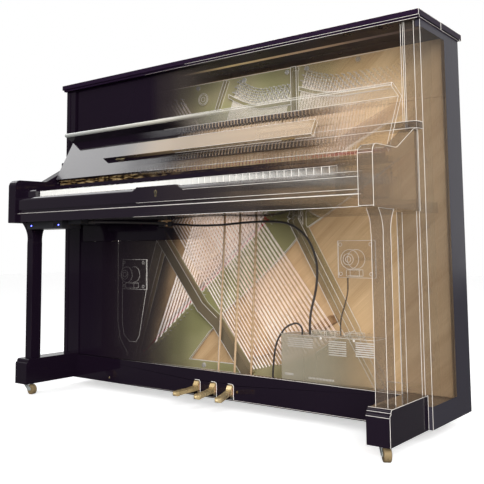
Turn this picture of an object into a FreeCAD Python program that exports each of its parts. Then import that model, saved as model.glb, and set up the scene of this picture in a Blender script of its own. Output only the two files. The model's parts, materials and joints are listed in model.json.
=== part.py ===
"""Upright piano as an assembly of separate pieces, one STEP file per piece.

Units are millimetres. X runs along the keyboard (treble to the right), Y runs from the
player to the back, Z is up. The origin is on the floor, in the middle of the plan.
"""
import FreeCAD, Part
import math
import os

from FreeCAD import Vector

# ---------------------------------------------------------------- driving dimensions
HALF_WIDTH = 760.0            # half of the lid's width, the widest piece
FRONT_Y = -310.0              # front of the arms
BACK_Y = 310.0                # back edge of the lid
HEIGHT = 1210.0               # top of the lid's hinge knuckle

SIDE_OUT = 754.0              # outer face of the side panels
SIDE_IN = 727.0               # inner face of the side panels
CASE_FRONT = -15.0            # front plane of the case
CASE_BACK = 292.0             # back plane of the case
CASE_BOTTOM = 40.0
CASE_TOP = 1183.0

ARM_IN, ARM_OUT = 697.0, 738.0
KEYBED_BOTTOM, KEYBED_TOP = 636.0, 668.0
KEY_PITCH = 23.6              # one white key
KEY_FRONT, KEY_BACK = -261.0, 125.0
KEY_TOP, KEY_UNDER = 750.0, 727.0
SHARP_TOP = 761.0
SHARP_FRONT, SHARP_REAR = -206.0, -112.0
BALANCE_Y = -36.0

FALL_LEAN = 29.5              # lean of the open fallboard from the vertical, degrees
FALL_BOTTOM = (-122.0, 808.0)  # lower inner edge of the open fallboard (y, z)
FALL_LENGTH = 180.0
FALL_THICK = 17.0
NOSE_LENGTH, NOSE_THICK = 48.0, 14.0
NOSE_ANGLE = 155.3            # direction of the nose from +Y towards +Z, degrees

UPRIGHT_X = 222.0                # the plate's upright between the two treble sections
STRING_TOP_Z = 1080.0         # height at which the string tops are laid out
TREBLE_Y, BASS_Y = 186.0, 174.8
TREBLE_NOTES, SINGLE_BASS, DOUBLE_BASS = 62, 10, 16
NOTES = 88
SHARP_CLASSES = (1, 3, 6, 8, 10)

PEDAL_XS = {"pedal_left": -67.0, "pedal_middle": 3.0, "pedal_right": 73.0}
PEDAL_BENDS = {"pedal_left": -16.0, "pedal_middle": 4.0, "pedal_right": 20.0}
PEDAL_PIVOT = (60.0, 76.0)

CASTER_X, CASTER_Y = 709.0, -222.0
REAR_CASTER = (640.0, 240.0)
WHEEL_R, WHEEL_W, CASTER_TRAIL = 18.0, 20.0, 20.0

GAP = 0.3                     # clearance between neighbouring pieces

os.makedirs("parts", exist_ok=True)


# ---------------------------------------------------------------- helpers
def box(x0, x1, y0, y1, z0, z1):
    return Part.makeBox(x1 - x0, y1 - y0, z1 - z0, Vector(x0, y0, z0))


def outline(points, place):
    """Closed wire; an entry is a corner, or (point on an arc, end of the arc)."""
    edges = []
    start = place(*points[0])
    last = start
    for entry in points[1:] + [points[0]]:
        if isinstance(entry[0], tuple):
            middle, end = place(*entry[0]), place(*entry[1])
            edges.append(Part.Arc(last, middle, end).toShape())
        else:
            end = place(*entry)
            edges.append(Part.makeLine(last, end))
        last = end
    return Part.Wire(edges)


def prism_x(points, x0, x1):
    wire = outline(points, lambda y, z: Vector(x0, y, z))
    return Part.Face(wire).extrude(Vector(x1 - x0, 0, 0))


def prism_y(points, y0, y1):
    wire = outline(points, lambda x, z: Vector(x, y0, z))
    return Part.Face(wire).extrude(Vector(0, y1 - y0, 0))


def prism_z(points, z0, z1):
    wire = outline(points, lambda x, y: Vector(x, y, z0))
    return Part.Face(wire).extrude(Vector(0, 0, z1 - z0))


def rod(start, end, radius):
    start, end = Vector(*start), Vector(*end)
    return Part.makeCylinder(radius, (end - start).Length, start, end - start)


def bar_between(a, b, width, y0, y1):
    """Flat bar in the XZ plane between two (x, z) points."""
    dx, dz = b[0] - a[0], b[1] - a[1]
    length = math.hypot(dx, dz)
    nx, nz = -dz / length * width / 2, dx / length * width / 2
    corners = [(a[0] + nx, a[1] + nz), (b[0] + nx, b[1] + nz),
               (b[0] - nx, b[1] - nz), (a[0] - nx, a[1] - nz)]
    return prism_y(corners, y0, y1)


def fused(shapes):
    shape = shapes[0].fuse(shapes[1:]) if len(shapes) > 1 else shapes[0]
    return shape.removeSplitter()


def mirrored(shape):
    return shape.mirror(Vector(0, 0, 0), Vector(1, 0, 0))


def rounded(shape, radius, wanted):
    """Fillet the straight edges whose centre passes the test."""
    edges = [edge for edge in shape.Edges if wanted(edge.CenterOfMass, edge)]
    return shape.makeFillet(radius, edges)


def save(node, shapes):
    solids = [solid for shape in shapes for solid in shape.Solids]
    Part.makeCompound(solids).exportStep("parts/" + node + ".step")


def save_pair(name, shape):
    save(name + "_right", [shape])
    save(name + "_left", [mirrored(shape)])


def tube(points, radius):
    """Cable of straight runs joined by tangent arcs that are as large as the runs allow."""
    corners = [Vector(*point) for point in points]
    edges = []
    last = corners[0]
    for before, corner, after in zip(corners, corners[1:], corners[2:]):
        run_in, run_out = corner - before, after - corner
        turn = run_in.getAngle(run_out)
        reach = 0.45 * min(run_in.Length, run_out.Length)
        bend = reach / math.tan(turn / 2)
        toward, away = run_in.normalize(), run_out.normalize()
        start, end = corner - toward * reach, corner + away * reach
        inward = (away - toward).normalize()
        middle = corner + inward * (bend / math.cos(turn / 2) - bend)
        edges.append(Part.makeLine(last, start))
        edges.append(Part.Arc(start, middle, end).toShape())
        last = end
    edges.append(Part.makeLine(last, corners[-1]))
    path = Part.Wire(edges)
    section = Part.Wire(Part.makeCircle(radius, corners[0], corners[1] - corners[0]))
    return path.makePipeShell([section], True, False)


# ---------------------------------------------------------------- case
def make_case():
    groove_in, groove_out, groove_depth = 728.0, 735.0, 3.0
    slab = box(SIDE_IN, SIDE_OUT, CASE_FRONT, CASE_BACK, CASE_BOTTOM, CASE_TOP)
    pilaster = box(702, SIDE_IN, CASE_FRONT, 20, 866, CASE_TOP)
    stile = box(668, SIDE_IN, CASE_FRONT, 10, 126, KEYBED_BOTTOM)
    side = fused([slab, pilaster, stile])
    side = side.cut(box(groove_in, groove_out, CASE_FRONT, CASE_FRONT + groove_depth,
                        CASE_BOTTOM, CASE_TOP))
    save_pair("side_panel", side)

    upper = box(-692.7, 692.7, -8, 12, 886, CASE_TOP - 1)
    save("upper_panel", [rounded(upper, 2, lambda c, e: c.y < -7.9)])
    lower = box(-667.7, 667.7, -10, 8, 126, 566)
    save("lower_panel", [rounded(lower, 2, lambda c, e: c.y < -9.9)])

    ledge_front = prism_z([(-752, -30), ((-746, -46), (-730, -52)), (730, -52),
                           ((746, -46), (752, -30)), (752, CASE_FRONT - GAP),
                           (701.7, CASE_FRONT - GAP), (701.7, 12), (-701.7, 12),
                           (-701.7, CASE_FRONT - GAP), (-752, CASE_FRONT - GAP)], 865, 885)
    save("panel_ledge", [rounded(ledge_front, 3, lambda c, e: c.y < -20)])

    rail = box(-SIDE_IN, SIDE_IN, CASE_FRONT, 5, 36, 125)
    for x in PEDAL_XS.values():
        rail = rail.cut(rounded(box(x - 13.5, x + 13.5, CASE_FRONT, 5, 42, 89), 5,
                                lambda c, e: abs(c.z - 89) < 1 and abs(c.x - x) > 13))
    save("bottom_rail", [rail])

    save("bottom_board", [box(-SIDE_IN, SIDE_IN, 5, 240, CASE_BOTTOM, 58)] + pedal_stands())


def make_arms_and_legs():
    arm = prism_x([(FRONT_Y + 3, 634), ((FRONT_Y + 0.9, 634.9), (FRONT_Y, 637)), (FRONT_Y, 771),
                   ((FRONT_Y + 7, 787), (FRONT_Y + 27, 794.5)), (-173, 797),
                   ((-161, 799), (-151, 804)), (-49, 861),
                   ((-43, 863.7), (-37, 864.5)), (CASE_FRONT, 864.5),
                   (CASE_FRONT, 634)], ARM_IN, ARM_OUT)
    save_pair("arm", rounded(arm, 2, lambda c, e: c.y < -16 and (c.x < 698 or c.x > 737)))

    toe = prism_x([(-260, 40), (-260, 112), ((-258, 117.5), (-253, 119)), (-253, 123),
                   ((-250, 129), (-244, 131)), (CASE_FRONT, 131), (CASE_FRONT, 40)], 677, 742)
    save_pair("toe_block", rounded(toe, 1.5, lambda c, e: c.y < -16 and c.z > 41
                                   and (c.x < 678 or c.x > 741)))

    leg = prism_x([(-230, 131), (-230, 560), ((-236, 606), (-255, 634)), (-160, 634),
                   ((-177, 606), (-183, 560)), (-183, 131)], 691, 724)
    save_pair("leg", rounded(leg, 2, lambda c, e: 132 < c.z < 633))


def make_keybed():
    bed = fused([box(-ARM_IN, ARM_IN, -296, CASE_FRONT, KEYBED_BOTTOM, KEYBED_TOP),
                 box(-SIDE_IN, SIDE_IN, CASE_FRONT, 146, KEYBED_BOTTOM, KEYBED_TOP)])
    save("keybed", [bed])

    edge, top, lock_top, flat, ramp = 713.0, 728.0, 730.0, 83.0, 110.0
    face = prism_x([(-300, 680), (-300, edge), ((-295.6, 723.6), (-285, top)), (-280, top),
                    (-280, 680)], -ARM_IN, ARM_IN)
    lock_pad = prism_y([(-ramp, edge), (-flat, lock_top), (flat, lock_top), (ramp, edge)],
                       -300, -280)
    tongue = box(-ARM_IN, ARM_IN, -294, -280, KEYBED_TOP, 680)
    save("key_slip", [fused([face, lock_pad, tongue])])

    block = rounded(box(616.5, ARM_IN, -279, -100, KEYBED_TOP, 754), 6,
                    lambda c, e: c.y < -278 and c.z > 753)
    save("key_blocks", [block, mirrored(block)])

    save("key_frame", [box(-613, 613, -262, -206, KEYBED_TOP, 700),
                       box(-613, 613, BALANCE_Y - 15, BALANCE_Y + 15, KEYBED_TOP, 722),
                       box(-613, 613, 88, 124, KEYBED_TOP, 726)])


def make_lids():
    split, knuckle, under = 135.0, 2.0, 1190.0
    slab_top = HEIGHT - knuckle
    rear = fused([box(-HALF_WIDTH, HALF_WIDTH, split + 0.5, BACK_Y, under, slab_top),
                  box(-SIDE_OUT, SIDE_OUT, split + 0.5, CASE_BACK, CASE_TOP, under),
                  rod((-740, split, slab_top), (740, split, slab_top), knuckle)])
    save("top_lid_rear", [rear])
    front = fused([box(-HALF_WIDTH, HALF_WIDTH, -37, split - 0.5, under, slab_top),
                   box(-SIDE_OUT, SIDE_OUT, -31, split - 0.5, CASE_TOP, under)])
    front = rounded(front, 3, lambda c, e: c.y < -36.9)
    front = front.cut(rod((-741, split, slab_top), (741, split, slab_top), knuckle + 0.5))
    save("top_lid_front", [front])


def fall_frame():
    """Unit vectors of the open fallboard: up the panel, and out of its inner face."""
    lean = math.radians(FALL_LEAN)
    up = (math.sin(lean), math.cos(lean))
    out = (-up[1], up[0])
    return up, out


def shifted(point, direction, distance):
    return (point[0] + direction[0] * distance, point[1] + direction[1] * distance)


def make_fallboard():
    up, out = fall_frame()
    nose = (math.cos(math.radians(NOSE_ANGLE)), math.sin(math.radians(NOSE_ANGLE)))
    nose_up = (nose[1], -nose[0])
    bottom = FALL_BOTTOM
    knee = shifted(bottom, up, FALL_LENGTH)
    tip = shifted(knee, nose, NOSE_LENGTH)
    tip_mid = shifted(shifted(tip, nose, 4), nose_up, NOSE_THICK / 2)
    tip_top = shifted(tip, nose_up, NOSE_THICK)
    back = shifted(bottom, out, -FALL_THICK)
    # the outer knee is where the back face meets the top of the nose
    det = up[0] * nose[1] - up[1] * nose[0]
    along = ((tip_top[0] - back[0]) * nose[1] - (tip_top[1] - back[1]) * nose[0]) / det
    elbow = shifted(back, up, along)
    panel = prism_x([bottom, knee, tip, (tip_mid, tip_top), elbow, back], -692, 692)
    pivot = (-110.5, 799.5)
    hinge = rod((-680, pivot[0], pivot[1]), (680, pivot[0], pivot[1]), 2.8)
    save("fallboard", [fused([panel, hinge])])

    shelf_low, shelf_height, shelf_thick, shelf_half = 66.0, 55.0, 16.0, 445.0
    low = shifted(shifted(bottom, up, shelf_low), out, 0)
    high = shifted(low, up, shelf_height)
    shelf = prism_x([low, high, shifted(high, out, shelf_thick), shifted(low, out, shelf_thick)],
                    -shelf_half, shelf_half)
    save("music_shelf", [shelf])

    rail = box(-ARM_IN, ARM_IN, -126, -92, 767, 784)
    leaf = box(-680, 680, -106.5, -104.5, 784, 796)
    knee_rail = box(-667.7, 667.7, -6, 8, 567, KEYBED_BOTTOM)
    cable_notch = box(-255, -190, -6, 8, 616, KEYBED_BOTTOM)
    knee_rail = knee_rail.cut(cable_notch)
    save("cross_rails", [rail, leaf, knee_rail])


# ---------------------------------------------------------------- back, soundboard, plate
def make_back():
    posts = [-692.0, -346.0, 0.0, 346.0, 692.0]
    solids = [box(-SIDE_IN, SIDE_IN, 246, CASE_BACK, 1100, CASE_TOP),
              box(-SIDE_IN, SIDE_IN, 246, CASE_BACK, CASE_BOTTOM, 150)]
    solids += [box(x - 35, x + 35, 246, CASE_BACK, 150, 1100) for x in posts]
    save("back_frame", solids)
    save("pin_block", [box(-SIDE_IN, SIDE_IN, 218, 246, 1001, CASE_TOP)])
    board = box(-SIDE_IN, SIDE_IN, 218, 226, 88, 1000)

    field = box(-SIDE_IN + 12, SIDE_IN - 12, 226, 246, 100, 990)
    slope, ribs, pitch = math.radians(52), 9, 190.0
    reach = 900.0
    solids = []
    for i in range(ribs):
        x = (i - (ribs - 1) / 2) * pitch
        dx, dz = reach * math.cos(slope), reach * math.sin(slope)
        rib = bar_between((x + dx, 545 - dz), (x - dx, 545 + dz), 26, 226, 246)
        solids += rib.common(field).Solids
    save("soundboard", [board] + solids)


def hitch_z(x):
    """Height of the treble hitch-pin line at x."""
    return 108 + 0.851 * (x + 510) - 0.00045 * max(0.0, x - 106) ** 2


def treble_line(top_x):
    """Hitch point and slant (dx/dz) of the treble string whose top is at top_x."""
    a, b = 362.0, 338.0
    v = (math.sqrt(a * a + 4 * b * (top_x + 75)) - a) / (2 * b)
    x = -510 + 1110 * v
    z = hitch_z(x)
    return (x, z), (top_x - x) / (STRING_TOP_Z - z)


def treble_tops():
    """Top x of each treble note, in two sections with the plate's strut between them."""
    first = 27
    tops = [-50 + 246 * i / (first - 1) for i in range(first)]
    rest = TREBLE_NOTES - first
    return tops + [246 + 374 * i / (rest - 1) for i in range(rest)]


def bar_z(x):
    """Height of the pressure bar at x."""
    if x < UPRIGHT_X:
        return 1044 + 56 * max(0.0, 1 - (x + 60) / 140) ** 1.5
    return 1048 + 40 * max(0.0, 1 - (x - 240) / 150) ** 1.5


def bass_line(w):
    """Bridge point, top point and slant of the bass string at w in 0..1."""
    x = 6 + 330 * w
    z = 157 + 0.2 * (x - 6) + 0.00067 * (x - 6) ** 2
    top_x = -672 + 410 * w
    return (x, z), top_x, (x - top_x) / (STRING_TOP_Z - z)


def make_strings():
    """Treble strings in threes, bass strings single then in pairs, with their tuning pins."""
    pins, treble, bass = [], [], []
    pin_front, pin_back, pin_r, treble_r = 168.0, 189.7, 2.3, 0.45
    spacing, row = 3.05, 18.0
    for note, top_x in enumerate(treble_tops()):
        (x, z), slant = treble_line(top_x)
        for k in range(3):
            shift = (k - 1) * spacing
            pin_z = bar_z(top_x) + 20 + k * row + note % 2 * row / 2
            pin_x = top_x + shift + slant * (pin_z - STRING_TOP_Z)
            pins.append(rod((pin_x, pin_front, pin_z), (pin_x, pin_back, pin_z), pin_r))
            end_z = pin_z - pin_r - 1
            end_x = top_x + shift + slant * (end_z - STRING_TOP_Z)
            foot_z = z + 2.5 * (k - 1)
            foot_x = top_x + shift + slant * (foot_z - STRING_TOP_Z)
            treble.append(rod((end_x, TREBLE_Y, end_z), (foot_x, TREBLE_Y, foot_z), treble_r))
    count = SINGLE_BASS + DOUBLE_BASS
    for i in range(count):
        w = i / (count - 1)
        (x, z), top_x, slant = bass_line(w)
        shifts = [0.0] if i < SINGLE_BASS else [-2.6, 2.6]
        radius = 2.4 - 0.7 * i / SINGLE_BASS if i < SINGLE_BASS else 1.6 - 0.5 * w
        for k, shift in enumerate(shifts):
            pin_z = 1090 + 20 * k + 14 * (i % 2)
            pin_x = top_x + shift - slant * (pin_z - STRING_TOP_Z)
            pins.append(rod((pin_x, pin_front, pin_z), (pin_x, pin_back, pin_z), pin_r))
            end_z = pin_z - pin_r - 1.5
            end_x = top_x + shift - slant * (end_z - STRING_TOP_Z)
            foot_z = z - 46
            foot_x = top_x + shift - slant * (foot_z - STRING_TOP_Z)
            bass.append(rod((end_x, BASS_Y, end_z), (foot_x, BASS_Y, foot_z), radius))
    save("tuning_pins", pins)
    save("treble_strings", treble)
    save("bass_strings", bass)


def make_bridges():
    """Each bridge is a band that follows the points where its strings bear on it."""
    def band(points, width, y0):
        upper = [(x - 0.64 * width / 2, z + 0.77 * width / 2) for x, z in points]
        lower = [(x + 0.64 * width / 2, z - 0.77 * width / 2) for x, z in points]
        return prism_y(upper + lower[::-1], y0, 218)

    tops = treble_tops()
    points = []
    for i, top_x in enumerate(tops[::4] + [tops[-1]]):
        (x, z), slant = treble_line(top_x)
        rise = 95 - 55 * (top_x + 50) / 670
        points.append((x + slant * rise, z + rise))
    treble = band(points, 34, TREBLE_Y + 1)
    bass_points = [bass_line(w)[0] for w in (0, 0.2, 0.4, 0.6, 0.8, 1)]
    (x0, z0), (x1, z1) = bass_points[0], bass_points[-1]
    bass = band([(x0 - 4, z0 - 1)] + bass_points + [(x1 + 12, z1 + 7)], 26, BASS_Y + 3)
    save("bridges", [treble, bass])


def make_plate():
    web0, web1 = 192.0, 202.0
    rib0, over1 = 150.0, 183.4
    top = box(-695, 695, 190, 217.7, 1010, 1172)
    frame = [box(-695, -655, web0, web1, 88, 1012), box(655, 695, web0, web1, 88, 1012),
             box(-695, 695, web0, web1, 88, 118)]
    edge = [(x, hitch_z(x)) for x in (-510, 106, 270, 430, 600)]
    upper = [(x - 9, z + 11) for x, z in edge]
    band = prism_y([(-560, 88), upper[0]] + upper[1:] + [(692, 985), (692, 880), (600, 822),
                   (430, 712), (330, 650), (236, 596), (187, 545), (148, 508), (-23, 366),
                   (-112, 300), (-155, 242), (-176, 226), (-288, 100), (-300, 88)],
                   web0, web1)
    bass_foot = prism_y([(6, 88), (26, 122), (130, 132), (250, 168), (352, 236), (420, 262),
                         (460, 210), (535, 88)], web0, web1)
    right_strut = fused([bar_between((213, 640), (421, 263), 40, 160, web1),
                         bar_between((418, 269), (520, 95), 34, 166, web1)])
    upright = fused([box(UPRIGHT_X - 11, UPRIGHT_X + 11, 170, over1, 628, 1168),
                     box(UPRIGHT_X - 11, UPRIGHT_X + 11, 170, 190, 1156, 1168),
                     box(206, 250, 170, web1, 600, 640)])
    main_strut = fused([bar_between((-676, 900), (-382, 575), 37, rib0, over1),
                        bar_between((-389, 584), (-178, 311), 37, rib0, over1),
                        bar_between((-186, 322), (-116, 268), 37, rib0, over1),
                        bar_between((-120, 275), (19, 98), 36, rib0, over1),
                        box(-690, -658, rib0, web1, 878, 916),
                        bar_between((14, 104), (24, 92), 30, rib0, web1)])
    v_strut = fused([bar_between((-394, 560), (-541, 125), 38, 160, over1),
                     bar_between((-541, 125), (-552, 92), 38, 160, web1)])
    break_rib = bar_between((-76, 1166), (-122, 1056), 13, 174, 190)
    boss = rod((-190, 182, 1110), (-190, 190, 1110), 24)
    plate = fused([top] + frame + [band, bass_foot, right_strut, upright, main_strut, v_strut,
                                   break_rib, boss])
    bars = []
    for x0, x1 in ((-66, 205), (239, 640)):
        steps = 8
        xs = [x0 + (x1 - x0) * i / steps for i in range(steps + 1)]
        low = [(x, bar_z(x) - 6) for x in xs]
        high = [(x, bar_z(x) + 8) for x in xs]
        bars.append(prism_y(low + high[::-1], 177.5, TREBLE_Y - 0.5 - GAP))
    save("iron_plate", [plate] + bars)


# ---------------------------------------------------------------- keys and action
def key_layout():
    """Pitch class, centre and, for a white key, its index, for each note."""
    sharp_shift = {1: -3.0, 3: 3.0, 6: -4.0, 8: 0.0, 10: 4.0}
    layout = []
    white = 0
    for note in range(NOTES):
        pitch = (note + 9) % 12
        if pitch in SHARP_CLASSES:
            x = (white - 26) * KEY_PITCH + sharp_shift[pitch]
        else:
            x = (white - 25.5) * KEY_PITCH
            white += 1
        layout.append((pitch, x))
    return layout


def capstan(x):
    return rod((x, 104, KEY_TOP - 1), (x, 104, KEY_TOP + 14), 4)


def make_keys():
    names = ["c", "c_sharp", "d", "d_sharp", "e", "f", "f_sharp", "g", "g_sharp", "a",
             "a_sharp", "b"]
    layout = key_layout()
    half, stick, slack, step_y = 11.3, 5.2, 1.3, -209.0
    groups = {name: [] for name in names}
    for note, (pitch, x) in enumerate(layout):
        if pitch in SHARP_CLASSES:
            body = box(x - stick, x + stick, SHARP_FRONT, KEY_BACK, KEY_UNDER, KEY_TOP - 2)
            cap = prism_x([(SHARP_FRONT, KEY_TOP - 2), (SHARP_FRONT + 5, SHARP_TOP - 1.5),
                           (SHARP_FRONT + 9, SHARP_TOP), (SHARP_REAR, SHARP_TOP),
                           (SHARP_REAR, KEY_TOP - 2)], x - stick + 0.4, x + stick - 0.4)
            solid = fused([body, cap, capstan(x)])
        else:
            left, right = x - half, x + half
            if note and layout[note - 1][0] in SHARP_CLASSES:
                left = layout[note - 1][1] + stick + slack
            if note + 1 < NOTES and layout[note + 1][0] in SHARP_CLASSES:
                right = layout[note + 1][1] - stick - slack
            plan = [(x - half, KEY_FRONT), (x + half, KEY_FRONT), (x + half, step_y),
                    (right, step_y), (right, KEY_BACK), (left, KEY_BACK), (left, step_y),
                    (x - half, step_y)]
            plan = [p for i, p in enumerate(plan) if p != plan[i - 1]]
            middle = (left + right) / 2
            solid = fused([prism_z(plan, KEY_UNDER, KEY_TOP), capstan(middle)])
        groups[names[pitch]].append(solid)
    for name, solids in groups.items():
        save("keys_" + name, solids)


def make_action():
    """Hammers, dampers, wippens and the rails and brackets that carry them."""
    centres = [(i - 43.5) * 13.9 for i in range(NOTES)]
    shank = prism_x([(54, 866), (61, 866), (103, 974), (96, 974)], -2.5, 2.5)
    butt = prism_x([(46, 864), (74, 864), (72, 884), (64, 892), (52, 886)], -4.5, 4.5)
    head = prism_x([(84, 974), (110, 972), ((125, 976), (128, 984)), ((126, 993), (112, 997)),
                    (84, 990)], -4.8, 4.8)
    hammer = fused([shank, butt, head])
    solids = [hammer.translated(Vector(x, 0, 0)) for x in centres]
    save("hammers", solids + [box(-612, 612, 52, 71, 925, 944)])

    def damper(front):
        wood = box(-4.5, 4.5, front - 22, front - 8, 928, 960)
        felt = box(-4.5, 4.5, front - 8, front, 930, 958)
        wire = rod((0, front - 15, 889), (0, front - 15, 928.5), 1.3)
        lever = box(-3.5, 3.5, 112, front - 8, 880, 890)
        return fused([wood, felt, wire, lever])

    bass_damper, treble_damper = damper(171.6), damper(184.6)
    solids = []
    for i, x in enumerate(centres[:66]):
        if abs(x - UPRIGHT_X) < 18:
            continue
        shape = bass_damper if i < 40 else treble_damper
        solids.append(shape.translated(Vector(x, 0, 0)))
    save("dampers", solids)

    save("muffler_rail", [fused([box(-600, 600, 152, 157, 1006, 1046),
                                 box(-600, 600, 148, 160, 1034, 1052)])])

    wippen = fused([prism_x([(22, 800), (112, 796), (112, 776), (96, 776), (92, 786), (60, 788),
                             (24, 792)], -4.5, 4.5),
                    prism_x([(50, 799), (56, 799), (56, 832), (50, 832)], -2.5, 2.5)])
    wippens = [wippen.translated(Vector(x, 0, 0)) for x in centres]

    rails = [box(-612, 612, 66, 110, 838, 862), box(-612, 612, 96, 110, 862, 876),
             box(-612, 612, 84, 110, 804, 826)]
    bracket_x = [centres[0] - 9, centres[36] + 6.95, centres[57] + 6.95, centres[-1] + 9]
    profile = [(128, KEYBED_TOP), (144, KEYBED_TOP), (144, 1000), (132, 1000), (132, 900),
               (110, 880), (110, 800), (128, 790)]
    brackets = [prism_x(profile, x - 1.8, x + 1.8) for x in bracket_x]
    rod_top = 804
    for x in PEDAL_XS.values():
        rails.append(box(x - 8, x + 8, 110, 170, rod_top, rod_top + 8))
        rails.append(rod((x, 106, 102), (x, 166, rod_top - GAP), 4).cut(
            box(x - 8, x + 8, 110, 176, rod_top, rod_top + 8)))
    save("action_frame", rails + brackets + wippens)


# ---------------------------------------------------------------- pedals
def pedal_stands():
    """Two ears and a pin on the bottom board for each pedal."""
    py, pz = PEDAL_PIVOT
    stands = []
    for x in PEDAL_XS.values():
        for side in (-1, 1):
            low, high = sorted((x + side * 7, x + side * 11))
            stand = box(low, high, py - 14, py + 14, 58, 88)
            stands.append(stand.cut(rod((x - 20, py, pz), (x + 20, py, pz), 3.0)))
        stands.append(rod((x - 14, py, pz), (x + 14, py, pz), 3.0))
    return stands


def make_pedals():
    """Each pedal is a block in its slot, a foot plate that bends sideways, and a trap lever."""
    py, pz = PEDAL_PIVOT
    half, tip_half = 10.0, 13.0
    for name, x in PEDAL_XS.items():
        tip = x + PEDAL_BENDS[name]
        lever = prism_x([(-8, 66), (150, 69), (150, 83), (-8, 82)], x - 6, x + 6)
        post = prism_x([(-26, 58), (-4, 56), (-4, 82), ((-9, 86), (-18, 84)), (-25, 74)],
                       x - half, x + half)
        profile = prism_x([(-6, 57), (-22, 71), (-46, 66), (-102, 61), ((-114, 58), (-118, 53)),
                           ((-113, 48), (-102, 49)), (-46, 54)], x - 45, x + 45)
        plan = prism_z([(x - half, -6), (x - half, -28), (tip - tip_half, -98),
                        ((tip - 9.5, -112), (tip, -118)), ((tip + 9.5, -112),
                        (tip + tip_half, -98)), (x + half, -28), (x + half, -6)], 40, 90)
        solid = fused([lever, post, profile.common(plan)])
        solid = solid.cut(rod((x - 20, py, pz), (x + 20, py, pz), 3.3))
        save(name, [solid])


# ---------------------------------------------------------------- casters
def caster_pair(x, y, trail):
    """Fork and wheel; the wheel's centre is off the swivel axis by the trail vector."""
    tx, ty = trail
    length = math.hypot(tx, ty)
    ux, uy = tx / length, ty / length

    def at(forward, side, z):
        return (x + ux * forward - uy * side, y + uy * forward + ux * side, z)

    def cheek(side):
        profile = [(-9, 35), (-9, 31), (CASTER_TRAIL - 7, WHEEL_R - 4),
                   (CASTER_TRAIL + 5, WHEEL_R - 3), (CASTER_TRAIL + 6, WHEEL_R + 5), (11, 35)]
        wire = Part.makePolygon([Vector(*at(f, side, z)) for f, z in profile + profile[:1]])
        thick = 2.2 if side > 0 else -2.2
        return Part.Face(wire).extrude(Vector(-uy * thick, ux * thick, 0))

    half = WHEEL_W / 2
    plate = rod((x, y, 35), (x, y, 39.7), 13.5)
    crown_points = [at(-9, -half - 2.5, 34.9), at(11, -half - 2.5, 34.9), at(11, half + 2.5, 34.9),
                    at(-9, half + 2.5, 34.9)]
    crown_wire = Part.makePolygon([Vector(*p) for p in crown_points + crown_points[:1]])
    crown = Part.Face(crown_wire).extrude(Vector(0, 0, 2.2))
    axle = rod(at(CASTER_TRAIL, -half - 3.4, WHEEL_R), at(CASTER_TRAIL, half + 3.4, WHEEL_R), 2.6)
    fork = fused([plate, crown, cheek(half + 0.8), cheek(-half - 0.8), axle])
    wheel = rod(at(CASTER_TRAIL, -half, WHEEL_R), at(CASTER_TRAIL, half, WHEEL_R), WHEEL_R)
    wheel = wheel.makeFillet(3, wheel.Edges)
    wheel = wheel.cut(rod(at(CASTER_TRAIL, -20, WHEEL_R), at(CASTER_TRAIL, 20, WHEEL_R), 2.9))
    return fork, wheel


def make_casters():
    trails = {"right": (0.6 * CASTER_TRAIL, -0.8 * CASTER_TRAIL), "left": (CASTER_TRAIL, 0.0)}
    for side, sign in (("right", 1), ("left", -1)):
        fork, wheel = caster_pair(sign * CASTER_X, CASTER_Y, trails[side])
        save("front_caster_fork_" + side, [fork])
        save("front_caster_wheel_" + side, [wheel])
    forks = []
    for side, sign in (("right", 1), ("left", -1)):
        fork, wheel = caster_pair(sign * REAR_CASTER[0], REAR_CASTER[1] + 12, (0.0, CASTER_TRAIL))
        forks.append(fork)
        save("rear_caster_wheel_" + side, [wheel])
    save("rear_caster_forks", forks)


# ---------------------------------------------------------------- electric units
def make_electrics():
    amp = rounded(box(248, 572, 24, 104, 58, 262), 3, lambda c, e: abs(c.x - 410) > 161)
    inlet = box(262, 290, 104, 108, 90, 112)
    save("amplifier_box", [fused([amp, inlet])])

    drivers = []
    for x, z in ((-480.0, 437.0), (478.0, 499.0)):
        bracket = box(x - 64, x + 64, 106, 110, z - 58, z + 58)
        magnet = rod((x, 62, z), (x, 106, z), 30)
        cap = rod((x, 52, z), (x, 62, z), 17)
        pin = rod((x, 110, z), (x, 217.7, z), 5)
        drivers.append(fused([bracket, magnet, cap, pin]))
    save("soundboard_drivers", drivers)

    body = rounded(box(-684, -488, -262, -170, 610, KEYBED_BOTTOM), 3, lambda c, e: c.z < 611)
    knob = rod((-530, -270, 623), (-530, -262, 623), 6)
    plate = box(-480, -412, -240, -170, 624, KEYBED_BOTTOM)
    save("control_panel", [fused([body, knob]), plate])

    feed = tube([(-412, -200, 630), (-366, -200, 630), (-300, -130, 629), (-240, -40, 627),
                 (-196, 40, 624), (-120, 64, 618), (-20, 72, 618), (80, 68, 624), (170, 72, 626),
                 (262, 66, 618), (334, 60, 570), (368, 58, 490), (363, 58, 410),
                 (338, 60, 330), (332, 64, 290), (332, 64, 262)], 4)
    lead = tube([(316, 44, 262), (316, 44, 284), (298, 43, 298), (256, 43, 284),
                 (218, 44, 234), (204, 48, 170), (197, 52, 118), (196, 54, 86), (196, 54, 58)], 3)
    right_wire = tube([(430, 84, 262), (430, 84, 310), (440, 92, 350), (446, 108, 396),
                       (446, 108, 441)], 2.5)
    save("wiring_loom", [feed, lead, right_wire])


make_case()
make_arms_and_legs()
make_keybed()
make_lids()
make_fallboard()
make_back()
make_strings()
make_bridges()
make_plate()
make_keys()
make_action()
make_pedals()
make_casters()
make_electrics()
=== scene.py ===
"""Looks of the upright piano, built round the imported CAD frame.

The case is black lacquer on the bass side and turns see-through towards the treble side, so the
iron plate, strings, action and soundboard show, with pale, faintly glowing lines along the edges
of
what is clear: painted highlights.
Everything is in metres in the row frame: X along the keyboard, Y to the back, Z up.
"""

import json
import math

import bmesh
import bpy
from mathutils import Matrix, Vector


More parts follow.
